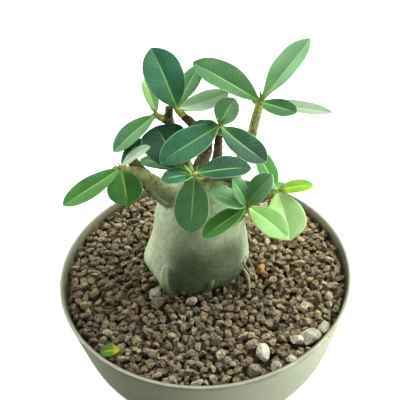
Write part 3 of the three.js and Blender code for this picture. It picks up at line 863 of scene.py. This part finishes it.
rosettes = {  # turn, lift, roll, length, width, arch, kind, form and, where it has its own, fold
    "upperLeft": [
        (126, 57, -8, 31, 20, 12, "dark", "oval"),
        # its pale look is painted sheen
        (15, 8, 10, 26.5, 13.5, -20, "silver", "oval"),
        (57, 29, 0, 27, 11, 10, "soft", "lance"),
        (97, 10, 0, 20, 11, 25, "mid", "oval"),
    ],
    "topStub": [
        (-152, -26, -8, 27, 13, 12, "soft", "oval"),
        # its brightness is painted light
        (115, 52, 15, 18, 8, 8, "light", "oval"),
        (130, -42, 0, 17, 10, 20, "mid", "oval"),
    ],
    "middle": [
        (118, 34, -4, 24.6, 24, 8, "shady", "round"),
        (146, -3, 0, 22.5, 11, 10, "soft", "oval"),
    ],
    "left": [
        (-154, -17, -12, 32, 13, -14, "fresh", "oval"),
        (-80, -50, 0, 18, 17, 12, "fresh", "oval"),
        # its pale look is painted sheen
        (8, 33, 0, 17.6, 9, 20, "frost", "oval"),
        (45, 32, 0, 17, 8, 8, "dark", "oval"),
        (118, -38, 0, 18, 10, 20, "mid", "oval"),
    ],
    "frontCentre": [
        (-104, -54, 0, 26.2, 16.5, 12, "soft", "oval"),
        (0, 4, 0, 25.5, 17, 14, "shady", "oval"),
        (-170, 1, 0, 15.5, 12, 14, "dark", "oval"),
        (150, 35, 0, 7, 1.5, 10, "bud", "lance"),
        (172, 12, 0, 7, 1.5, 10, "bud", "lance"),
        (60, 45, 0, 5, 1.3, 10, "bud", "lance"),
        (-168, -8, 0, 8, 1.5, 8, "bud", "lance"),
        (128, 58, 0, 6, 1.3, 8, "bud", "lance"),
    ],
    "centre": [
        (36, 50, 0, 14.5, 15.5, 10, "soft", "oval"),
        (-36, -25, 10, 27.5, 15, -14, "shady", "oval"),
        (-150, -12.5, -18, 33.4, 16.6, 12, "dark", "oval"),
        (158, -12, 0, 16.5, 9.5, 10, "dark", "oval"),
        (165, 14, 45, 8, 6, 10, "mid", "oval"),
        (100, -38, 0, 17, 10, 20, "mid", "oval"),
    ],
    "right": [
        (159, 27, -10, 37.5, 20, 4, "mid", "oval", 18),
        (24, 44, 0, 37.5, 18, -4, "pale", "lance", 18),
        (-38, 1, 12, 20, 11.5, -8, "mid", "oval"),
        # its pale look is a painted reflection
        (-8, -9, 3, 35.5, 11, -4, "mist", "lance"),
        (75, -40, 0, 22, 12, 20, "mid", "oval"),
    ],
    "lowFront": [
        (-150, -14, 0, 26, 12.5, 4, "fresh", "oval"),
        (173, 25, -2, 20.5, 15, 10, "pale", "oval"),
        (148, 62, 0, 16, 11, 8, "soft", "oval"),
        (24, 46, 0, 19.5, 14.5, 10, "pale", "oval"),
        (-39, -20, 0, 23.5, 16, 8, "glassy", "oval"),
    ],
    "lowRight": [
        (144, 58, 0, 23, 14, 8, "grass", "oval"),
        (3, 6, 6, 18.5, 9.5, 12, "young", "oval"),
        # its brightness is painted light
        (-73, -48, 0, 25.3, 21, 12, "light", "round"),
        (60, -25, 0, 18, 11, 20, "mid", "oval"),
    ],
}

shedLeaf = {"root": (-41.2, -49.8, 62.8), "pose": (187, 3, 0, 9.4, 7.2, 14, "shed", "oval")}


def nodeOf(rosette):
    # lowFront rides in place of rosette_low_front
    return "rosette_" + "".join("_" + sign.lower() if sign.isupper() else sign for sign in rosette)


def titled(rosette):
    return rosette[0].upper() + rosette[1:]


def makeLeafPattern():
    # midrib, side veins and pale margin from the flattened blade's own plan; the pale margin is partly a
    # painted rim highlight
    group, source, result = newGroup(
        "leafPattern",
        {"Place": "Vector", "Upper": "Color", "Deep": "Color", "Warm": "Color", "Rib": "Color",
         "Margin": "Color", "Veins": "Float"},
        {"Colour": "Color", "Height": "Float", "Shine": "Float"})
    plan = node(group, "SeparateXYZ", {"Vector": node(group, "UVMap", uv_map="plan").outputs["UV"]})
    across = maths(group, "ABSOLUTE", maths(group, "SUBTRACT", plan.outputs["X"], 0.5))
    along = plan.outputs["Y"]
    place = source["Place"]
    tone = clouds(group, place, source["Upper"], source["Deep"], scale=90.0, share=0.9)
    fine = clouds(group, place, tone["Colour"], source["Deep"], scale=800.0, share=0.3)
    nearBase = fade(group, attribute(group, "toTip"), 0.5, 0.95)
    nearRib = fade(group, across, 0.14, 0.02)
    glow = times(group, times(group, nearBase, nearRib), 0.75)
    warmed = blend(group, glow, fine["Colour"], source["Warm"])
    swept = maths(group, "SUBTRACT", along, times(group, across, 0.62))
    wobble = times(group, noise(group, place, 260.0, 2.0), 0.11)
    phase = times(group, maths(group, "ADD", swept, wobble), 17.0)
    ridge = maths(group, "ABSOLUTE", maths(group, "SUBTRACT", maths(group, "FRACT", phase), 0.5))
    vein = times(group, fade(group, ridge, 0.16, 0.0), source["Veins"])
    veined = blend(group, vein, warmed, source["Rib"])
    halfRib = maths(group, "SUBTRACT", 0.018, times(group, along, 0.012))
    ribMask = fade(group, maths(group, "DIVIDE", across, halfRib), 1.25, 0.4)
    fading = fade(group, attribute(group, "toTip"), 0.05, 0.42)
    ended = times(group, ribMask, times(group, fading, 0.95))
    ribbed = blend(group, ended, veined, source["Rib"])
    # the margin is paler: partly the leaf's own pale edge, partly a painted rim highlight
    paleLitEdge = fade(group, attribute(group, "toMargin"), 0.55, 0.15)
    paleLitEdged = blend(group, times(group, paleLitEdge, 0.74), ribbed, source["Margin"])
    base = fade(group, attribute(group, "toBase"), 4.0, 0.5)
    relief = maths(group, "SUBTRACT", times(group, fine["Height"], 0.35), times(group, vein, 0.7))
    feed(group, result, {
        "Colour": blend(group, times(group, base, 0.7), paleLitEdged, source["Rib"]),
        "Height": relief,
        "Shine": scaleTo(group, fine["Height"], 0.4, 0.58)})
    return group


leafPattern = makeLeafPattern()


def makeLeafMaterials():
    made = {}
    for kind, colours in leafKinds.items():
        upper, deep, warm, rib, margin, under = [paint(*colour) for colour in colours]
        shaded = tuple(a + (b - a) * 0.3 for a, b in zip(under, upper))
        sides = {"Upper": (upper, deep, warm, 0.085), "Under": (under, shaded, under, 0.16)}
        for side, (main, patches, nearRib, veins) in sides.items():
            material, tree, shader, place = newMaterial(kind + "Leaf" + side, 0.45, 0.2)
            pattern = useGroup(tree, leafPattern, {
                "Place": place, "Upper": main, "Deep": patches, "Warm": nearRib,
                "Rib": rib, "Margin": margin, "Veins": veins})
            finishSkin(tree, shader, pattern["Colour"], pattern["Height"], 0.00025, pattern["Shine"])
            made[kind, side] = material
    return made


leafMaterials = makeLeafMaterials()


def bladeFrame(turn, lift, roll):
    # the directions along the leaf, across it and up from it
    chord = Vector((math.cos(lift) * math.cos(turn), math.cos(lift) * math.sin(turn), math.sin(lift)))
    side = Vector((-math.sin(turn), math.cos(turn), 0))
    side.rotate(Matrix.Rotation(roll, 3, chord))
    return np.array(chord), np.array(side), np.array(chord.cross(side).normalized())


def makeBlade(name, root, pose, rng, columns=leaf["columns"], rows=leaf["rows"]):
    turn, lift, roll, length, width, arch, kind, form, *ownFold = pose
    turn, lift, roll, half = [math.radians(angle) for angle in (turn, lift, roll, arch / 2)]
    chord, side, top = bladeFrame(turn, lift, roll)
    bpy.ops.object.select_all(action="DESELECT")
    bpy.ops.mesh.primitive_grid_add(x_subdivisions=columns, y_subdivisions=rows, size=2)
    blade = bpy.context.object
    blade.name = blade.data.name = name
    flat = pointsOf(blade)
    across = -np.sign(flat[:, 0]) * np.abs(flat[:, 0]) ** leaf["crowding"]
    outward = np.abs(across)
    along = (flat[:, 1] + 1) / 2
    reach = np.interp(along, formDots[form][:, 0], formDots[form][:, 1]) * width / 2

    # arched along its length
    swing = (2 * along - 1) * half
    forward = length * (np.sin(swing) + math.sin(half)) / (2 * math.sin(half))
    rise = length * (np.cos(swing) - math.cos(half)) / (2 * math.sin(half))
    up = np.cos(swing)[:, None] * top - np.sin(swing)[:, None] * chord

    # folded up on both sides of the midrib, rippled at the margin and creased in the middle
    spare = leaf["foldSpread"]
    folded = ownFold[0] if ownFold else leaf["fold"] + rng.uniform(-spare, spare)
    fold = math.radians(folded) * (1.25 - 0.5 * along)
    raised = reach * np.sin(fold) * outward * (1.2 - 0.3 * outward)
    phase = rng.uniform(0, 6, 2)
    waves = [np.sin(along * pace + start) for pace, start in zip(leaf["ripples"], phase)]
    ripple = np.where(across > 0, *waves)
    raised += leaf["ripple"] * width * ripple * outward**2 * np.sin(np.pi * along)
    crease = leaf["crease"] * np.exp(-(across * reach / leaf["creaseWidth"]) ** 2)
    raised -= crease * (1 - 0.6 * along) * smoothStep(along, 0.04, 0.15)
    sway = leaf["sway"] * length * math.sin(phase[0]) * np.sin(np.pi * along)
    points = np.array(root) + forward[:, None] * chord + rise[:, None] * top
    points += (across * reach * np.cos(fold) + sway * (1 - outward) * 0.5)[:, None] * side
    points += raised[:, None] * up
    movePoints(blade, points * mm)

    plan = blade.data.uv_layers.active
    plan.name = "plan"
    corners = np.empty(len(blade.data.loops), int)
    blade.data.loops.foreach_get("vertex_index", corners)
    size = leaf["planSize"]
    flattened = np.stack([across * reach / size + 0.5, along * length / size], 1)[corners]
    plan.data.foreach_set("uv", flattened.astype(np.float32).ravel())
    keepValues(
        blade, toMargin=np.minimum(reach * (1 - outward), length * (1 - along) * 1.3),
        toTip=1 - along, toBase=along * length)

    # thick at the petiole and the midrib, thin at the margin
    thick = leaf["blade"] + (leaf["petiole"] - leaf["blade"]) * smoothStep(along, 0.22, 0.0)
    rib = leaf["rib"] * np.exp(-(across * reach / leaf["ribWidth"]) ** 2)
    thick += rib * (1 - along) * smoothStep(along, 0, 0.2)
    thick -= (leaf["blade"] - leaf["margin"]) * smoothStep(outward, 0.6, 1.0)
    group = blade.vertex_groups.new(name="thickness")
    most = leaf["petiole"] + 0.1
    for vertex, value in enumerate(thick / most):
        group.add([vertex], float(value), "REPLACE")
    blade.data.materials.append(leafMaterials[kind, "Upper"])
    blade.data.materials.append(leafMaterials[kind, "Under"])
    modify(blade, "SOLIDIFY", thickness=most * min(1.0, width / leaf["fullWidth"]) * mm, offset=0,
           vertex_group="thickness", material_offset=1, material_offset_rim=0)
    modify(blade, "SUBSURF", levels=1, render_levels=1)
    smoothShade(blade)
    return blade


def makeRosettes():
    rng = np.random.default_rng(leaf["seed"])
    for rosette, leaves in rosettes.items():
        tip = branches[rosette][1]
        for number, pose in enumerate(leaves, 1):
            cells = leaf["smallGrid"] if pose[3] < leaf["smallBelow"] else ()
            blade = makeBlade("leaf" + titled(rosette) + str(number), tip, pose, rng, *cells)
            handOver(blade, nodeOf(rosette))
    blade = makeBlade("leafShed", shedLeaf["root"], shedLeaf["pose"], rng)
    handOver(blade, "shed_leaf")


makeRosettes()


# Growing tips

shoot = {
    "profile": [(-3.2, 1.02), (-1.2, 0.94), (0.4, 0.8), (1.4, 0.5), (2.2, 0.2)],  # place, share of radius
    "buds": 6,
    "budLength": 5.0,
    "budWidth": 1.2,
    "budArch": 20,
    "budFold": 30,
    "budGrid": (4, 6),
    "seed": 23,
}


def makeShootMaterial():
    material, tree, shader, place = newMaterial("shootSkin", 0.5, 0.3)
    skin = clouds(tree, place, paint(184, 204, 94), paint(150, 158, 70), scale=500.0, share=0.8)
    flushed = blend(tree, attribute(tree, "flush"), skin["Colour"], paint(168, 146, 60))
    finishSkin(tree, shader, flushed, noise(tree, place, 1100.0, 2.0), 0.0002)
    return material


def makeTip(centre, axis, end, skin):
    profile = [(-shootLength, 1)] + shoot["profile"]
    tube = bendTube("shoot", [(*(centre + axis * along), end * share) for along, share in profile])
    modify(tube, "SUBSURF", levels=1, render_levels=1)
    ahead, middle = np.array(axis), np.array(centre)
    points = pointsOf(tube) / mm
    along = (points - middle) @ ahead
    off = points - middle - along[:, None] * ahead
    swell = 1 + 0.1 * np.sin(along * 3.2 + 3 * np.arctan2(off[:, 1], off[:, 0]))
    movePoints(tube, (middle + along[:, None] * ahead + off * swell[:, None]) * mm)
    keepValues(tube, flush=smoothStep(along, -0.2, 1.2))
    tube.data.materials.append(skin)
    smoothShade(tube)
    return tube


def makeShoots():
    rng = np.random.default_rng(shoot["seed"])
    skin = makeShootMaterial()
    for rosette in branches:
        tip, end = branches[rosette][1:]
        axis, centre = shootAxis(rosette), Vector(tip)
        parts = [makeTip(centre, axis, end, skin)]
        side = axis.orthogonal().normalized()
        start = rng.uniform(0, 6)
        for k in range(shoot["buds"]):
            lean = side.copy()
            lean.rotate(Matrix.Rotation(start + k * goldenTurn, 3, axis))
            aim = (axis + lean * rng.uniform(0.25, 0.7)).normalized()
            turn = math.degrees(math.atan2(aim.y, aim.x))
            lift = math.degrees(math.asin(max(-1, min(1, aim.z))))
            length = shoot["budLength"] * rng.uniform(0.7, 1.15)
            pose = (turn, lift, 0, length, shoot["budWidth"], shoot["budArch"], "bud", "lance",
                    shoot["budFold"])
            parts.append(makeBlade("bud", centre + axis * 0.3, pose, rng, *shoot["budGrid"]))
        handOver(joinAll("shoot" + titled(rosette), parts), nodeOf(rosette))


makeShoots()


# Grit

grit = {
    "bedLevel": 56.5,
    "bedBottom": (30, 20),  # height, and radius of its first ring
    "bedGap": 0.3,  # between the bed and the bowl
    "bedRough": 0.8,
    "level": 60.6,  # mean height of the finished surface
    "heap": 1.6,  # how far over that level a grain may still rest
    "wallLevel": 60,  # the height that the inner width is taken at
    "underStem": 0.4,  # how far the grains go in under the stem
    "cell": 0.5,
    "tries": 13,
    "drops": 9000,
    "sink": 0.72,  # grains sit this share of their height above what they touch
    "variants": 20,
    "cuts": 7,  # planes that a grain is broken along
    "broken": ((0.42, 0.82), 2, 0.11),  # how deep the planes cut, fineness and roughness
    "roundVariants": 5,
    "rounded": ((0.6, 0.9), 3, 0.05),
    "sizeDraw": (1.7, 2.2),  # beta draw between the smallest and the largest size
    "length": (0.95, 1.35),  # a grain's measures, as shares of its size
    "width": (0.68, 0.98),
    "height": (0.48, 0.78),
    "tilt": 0.25,
    "dry": (0.48, 5, 60),  # painted light: how much paler the grains on the right are, and how far out
    "damp": (0.22, 5, 50),  # painted shade: how much darker the grains at the front are, and how far out
    "footShadeReach": 6,  # how far out the grains are painted darker around the stem, a painted shade
    "seed": 17,
    "bedSeed": 3,
    "stoneSeed": 5,
    "mixes": {  # share, smallest and largest size, colours
        "Brown": (0.36, 2.0, 5.2, [(134, 120, 92), (120, 106, 80), (146, 132, 102), (108, 94, 70)]),
        "Umber": (0.26, 2.0, 5.0, [(112, 96, 72), (98, 84, 62), (126, 108, 82), (136, 114, 86)]),
        "Tan": (0.2, 2.2, 5.4, [(158, 144, 114), (146, 132, 102), (168, 154, 122)]),
        "Grey": (0.1, 2.2, 5.2, [(134, 128, 106), (112, 108, 88), (150, 144, 120)]),
        "Red": (0.04, 2.2, 4.6, [(128, 98, 78), (114, 86, 70), (138, 106, 86)]),
        "Yellow": (0.04, 2.2, 4.4, [(160, 146, 94), (150, 130, 84), (152, 122, 80)]),
    },
    "stones": [  # x, y, z, length, width, height, turn, colour
        (24.1, -56.0, 62.4, 9.2, 6.4, 6.0, 84, (196, 196, 178)),
        (41.0, -50.0, 62.2, 6.6, 5.0, 4.6, 20, (188, 180, 156)),
        (47.3, -47.9, 61.8, 11.0, 7.8, 6.2, 35, (162, 163, 144)),
        (54.0, -43.6, 61.6, 7.6, 5.4, 5.0, 70, (168, 168, 144)),
        (29.0, -63.3, 61.8, 5.6, 4.6, 4.4, 10, (176, 174, 150)),
        (36.4, -60.2, 61.6, 5.4, 4.4, 4.2, 40, (172, 168, 146)),
        (19.0, -64.6, 61.6, 6.8, 5.6, 5.0, 25, (118, 116, 98)),
        (-7.3, -21.8, 61.8, 6.4, 5.2, 4.8, 160, (172, 176, 160)),
        (-25.6, -16.6, 62.4, 6.6, 5.8, 6.2, 30, (160, 162, 144)),
        (-24.2, -22.2, 61.8, 7.6, 6.0, 5.4, 10, (96, 100, 80)),
        (-6.5, -70.2, 62.4, 6.0, 4.0, 3.8, 5, (168, 168, 148)),
        (29.2, -2.4, 61.4, 7.0, 4.2, 3.6, 64, (164, 116, 60)),
        (30.8, -6.6, 61.2, 4.4, 3.0, 3.0, 120, (150, 100, 56)),
        (-56.6, -12.4, 61.6, 5.8, 4.6, 4.6, 80, (150, 142, 96)),
        (-60.2, -20.4, 61.4, 6.0, 4.2, 4.4, 10, (150, 142, 92)),
        (16.4, -60.6, 61.8, 6.2, 4.0, 4.2, 15, (124, 100, 82)),
        (19.8, -51.0, 61.6, 7.4, 5.2, 4.8, 35, (126, 110, 88)),
    ],
}


def makeGrainShape(rng, cuts, fineness, roughness):
    # a broken lump: a ball cut flat by a few planes, its corners pushed in and out
    bpy.ops.object.select_all(action="DESELECT")
    bpy.ops.mesh.primitive_ico_sphere_add(subdivisions=fineness, radius=1)
    grain = bpy.context.object
    bpy.ops.object.mode_set(mode="EDIT")
    for k in range(grit["cuts"]):
        bpy.ops.mesh.select_all(action="SELECT")
        side = Vector(rng.normal(size=3)).normalized()
        bpy.ops.mesh.bisect(
            plane_co=side * rng.uniform(*cuts), plane_no=side, use_fill=True, clear_outer=True)
    bpy.ops.mesh.select_all(action="SELECT")
    bpy.ops.mesh.remove_doubles(threshold=0.4 / fineness)
    bpy.ops.mesh.quads_convert_to_tris(quad_method="BEAUTY", ngon_method="BEAUTY")
    bpy.ops.mesh.normals_make_consistent(inside=False)
    bpy.ops.object.mode_set(mode="OBJECT")
    points = pointsOf(grain)
    points *= 1 + roughness * rng.normal(0, 1, len(points)).clip(-2, 1.6)[:, None]
    faces = np.array([list(face.vertices) for face in grain.data.polygons])
    bpy.data.objects.remove(grain)
    return points, faces


def layGrains(rng, stones):
    # grains are dropped one by one: each takes the lowest of a few places and rests on what lies there
    cell = grit["cell"]
    inner = bowlRadius(grit["wallLevel"]) - bowl["wall"]
    count = int(2 * inner / cell) + 3
    middle = count // 2
    grid = (np.arange(count) - middle) * cell
    plotX, plotY = np.meshgrid(grid, grid, indexing="ij")
    ground = np.full((count, count), float(grit["bedLevel"]))
    footX, footY, footRadius = stem["foot"]
    closed = footRadius - grit["underStem"]
    isOpen = np.hypot(plotX, plotY) < inner - cell
    isOpen &= np.hypot(plotX - footX, plotY - footY) > closed
    kinds = list(grit["mixes"])
    shares = np.array([grit["mixes"][kind][0] for kind in kinds])
    odds = shares / shares.sum()
    laid = []

    def profile(x, y, a, b, c, turn):
        # cells under an oval grain, and its half height over each
        reach = int(max(a, b) / cell) + 1
        i, j = int(round(x / cell)) + middle, int(round(y / cell)) + middle
        low = (max(i - reach, 0), max(j - reach, 0))
        part = (slice(low[0], i + reach + 1), slice(low[1], j + reach + 1))
        dx, dy = plotX[part] - x, plotY[part] - y
        cos, sin = math.cos(turn), math.sin(turn)
        inside = 1 - ((dx * cos + dy * sin) / a) ** 2 - ((dy * cos - dx * sin) / b) ** 2
        return part, np.where(inside > 0, c * np.sqrt(np.maximum(inside, 0)), np.nan)

    def settle(part, half, z):
        ground[part] = np.fmax(ground[part], z + half * 0.9)

    for x, y, z, *shape, colour in stones:
        settle(*profile(x, y, *shape), z)
    for drop in range(grit["drops"]):
        if drop % 50 == 0 and ground[isOpen].mean() > grit["level"]:
            break
        kind = kinds[int(rng.choice(len(kinds), p=odds))]
        smallest, largest, colours = grit["mixes"][kind][1:]
        size = smallest + (largest - smallest) * rng.beta(*grit["sizeDraw"])
        a, b, c = [size / 2 * rng.uniform(*grit[key]) for key in ("length", "width", "height")]
        turn = rng.uniform(0, math.pi)
        best = None
        for attempt in range(grit["tries"]):
            r, angle = (inner - a * 0.92) * math.sqrt(rng.uniform()), rng.uniform(0, 2 * math.pi)
            x, y = r * math.cos(angle), r * math.sin(angle)
            if math.hypot(x - footX, y - footY) < closed + a * 0.3:
                continue
            part, half = profile(x, y, a, b, c, turn)
            rest = np.nanmax(ground[part] + half * grit["sink"])
            if best is None or rest < best[0]:
                best = (rest, x, y, part, half)
        if best is None or best[0] > grit["level"] + grit["heap"]:
            continue
        rest, x, y, part, half = best
        settle(part, half, rest)
        colour = colours[int(rng.integers(len(colours)))]
        laid.append((kind, x, y, rest, a, b, c, turn, colour))
    return laid


def buildGrains(name, grains, shapes, rng, material, spread=0.16):
    # spread is how far the grains' brightness differs
    allPoints, allFaces, allColours = [], [], []
    total = 0
    footX, footY, footRadius = stem["foot"]
    dry, *paintedLightReach = grit["dry"]
    damp, *paintedShadeReach = grit["damp"]
    for x, y, z, a, b, c, turn, colour in grains:
        toFoot = math.hypot(x - footX, y - footY) - footRadius
        points, faces = shapes[int(rng.integers(len(shapes)))]
        tumbled = points @ np.array(Quaternion(rng.normal(size=4)).normalized().to_matrix()).T
        tumbled = tumbled - (tumbled.max(0) + tumbled.min(0)) / 2
        tumbled /= np.abs(tumbled).max(0)
        tiltX, tiltY = [Matrix.Rotation(rng.normal(0, grit["tilt"]), 3, axis) for axis in "XY"]
        pose = np.array(Matrix.Rotation(turn, 3, "Z") @ (tiltX @ tiltY))
        placed = (tumbled * [a, b, c]) @ pose.T + [x, y, z]
        allPoints.append(placed * mm)
        allFaces.append(faces + total)
        # grains near the stem's foot are painted darker: painted shade
        shade = rng.normal(1, spread) * (0.55 + 0.45 * min(1, max(0, toFoot / grit["footShadeReach"])))
        # paler on the right as painted light, darker at the front as painted shade
        shade *= 1 + dry * smoothStep(x, *paintedLightReach) - damp * smoothStep(-y, *paintedShadeReach)
        linear = np.array(paint(*colour)) * [shade, shade, shade, 1]
        allColours.append(np.tile(np.clip(linear, 0, 1), (len(points), 1)))
        total += len(points)
    mesh = bpy.data.meshes.new(name)
    mesh.from_pydata(np.concatenate(allPoints), [], np.concatenate(allFaces))
    piece = bpy.data.objects.new(name, mesh)
    bpy.context.scene.collection.objects.link(piece)
    keepValues(piece, grainColour=np.concatenate(allColours))
    mesh.materials.append(material)
    handOver(piece, "grit")


def makeGrainMaterial(name, pits, patches):
    material, tree, shader, place = newMaterial(name, 0.92, 0.15)
    own = attribute(tree, "grainColour", "Color")
    darker = blend(tree, 1.0, own, (0.42, 0.39, 0.34, 1.0), "MULTIPLY")
    lighter = blend(tree, 0.45, own, paint(196, 184, 154))
    tone = clouds(tree, place, own, darker, scale=420.0, share=patches)
    dust = clouds(tree, place, tone["Colour"], lighter, scale=900.0, share=0.75)
    # the pits are sunk and painted darker: painted shade in them
    holes = sprinkle(tree, place, dust["Colour"], darker, scale=1500.0, size=0.36, share=pits)
    pitted = times(tree, holes["Mask"], 0.5)
    bumps = maths(tree, "SUBTRACT", noise(tree, place, 1300.0, 4.0, 0.65), pitted)
    finishSkin(tree, shader, holes["Colour"], bumps, 0.0008)
    return material


def makeBed():
    low, start = grit["bedBottom"]
    level, rough = grit["bedLevel"], grit["bedRough"]
    inset = bowl["wall"] + grit["bedGap"]
    rings = [(0, 0, low, start)]
    for k in range(9):
        z = low + (level - low) * k / 8
        rings.append((0, 0, z, bowlRadius(z) - inset))
    for k in range(1, 30):
        rings.append((0, 0, level, (bowlRadius(level) - inset - 0.1) * (1 - k / 30)))
    bed = stackRings("gritBed", rings, bowl["sides"])
    points = pointsOf(bed) / mm
    rng = np.random.default_rng(grit["bedSeed"])
    points[:, 2] += np.where(points[:, 2] > level - 0.5, rng.uniform(-rough, rough, len(points)), 0)
    movePoints(bed, points * mm)
    material, tree, shader, place = newMaterial("deepSoil", 0.95, 0.1)
    soil = clouds(tree, place, paint(84, 72, 54), paint(56, 46, 34), scale=350.0, share=0.9)
    finishSkin(tree, shader, soil["Colour"], noise(tree, place, 600.0, 4.0), 0.001)
    bed.data.materials.append(material)
    handOver(bed, "grit")


def makeGrit():
    rng = np.random.default_rng(grit["seed"])
    shapes = [makeGrainShape(rng, *grit["broken"]) for k in range(grit["variants"])]
    rounder = [makeGrainShape(rng, *grit["rounded"]) for k in range(grit["roundVariants"])]
    stones = [(x, y, z, a / 2, b / 2, c / 2, math.radians(turn), colour)
              for x, y, z, a, b, c, turn, colour in grit["stones"]]
    laid = layGrains(rng, stones)
    print("grains laid", len(laid))
    material = makeGrainMaterial("lavaGrain", 0.5, 0.7)
    for kind in grit["mixes"]:
        grains = [grain[1:] for grain in laid if grain[0] == kind]
        buildGrains("grit" + kind, grains, shapes, rng, material)
    chalky = makeGrainMaterial("pumiceStone", 0.35, 0.25)
    rng = np.random.default_rng(grit["stoneSeed"])
    buildGrains("pumiceLumps", stones, rounder, rng, chalky, 0.06)
    makeBed()


makeGrit()
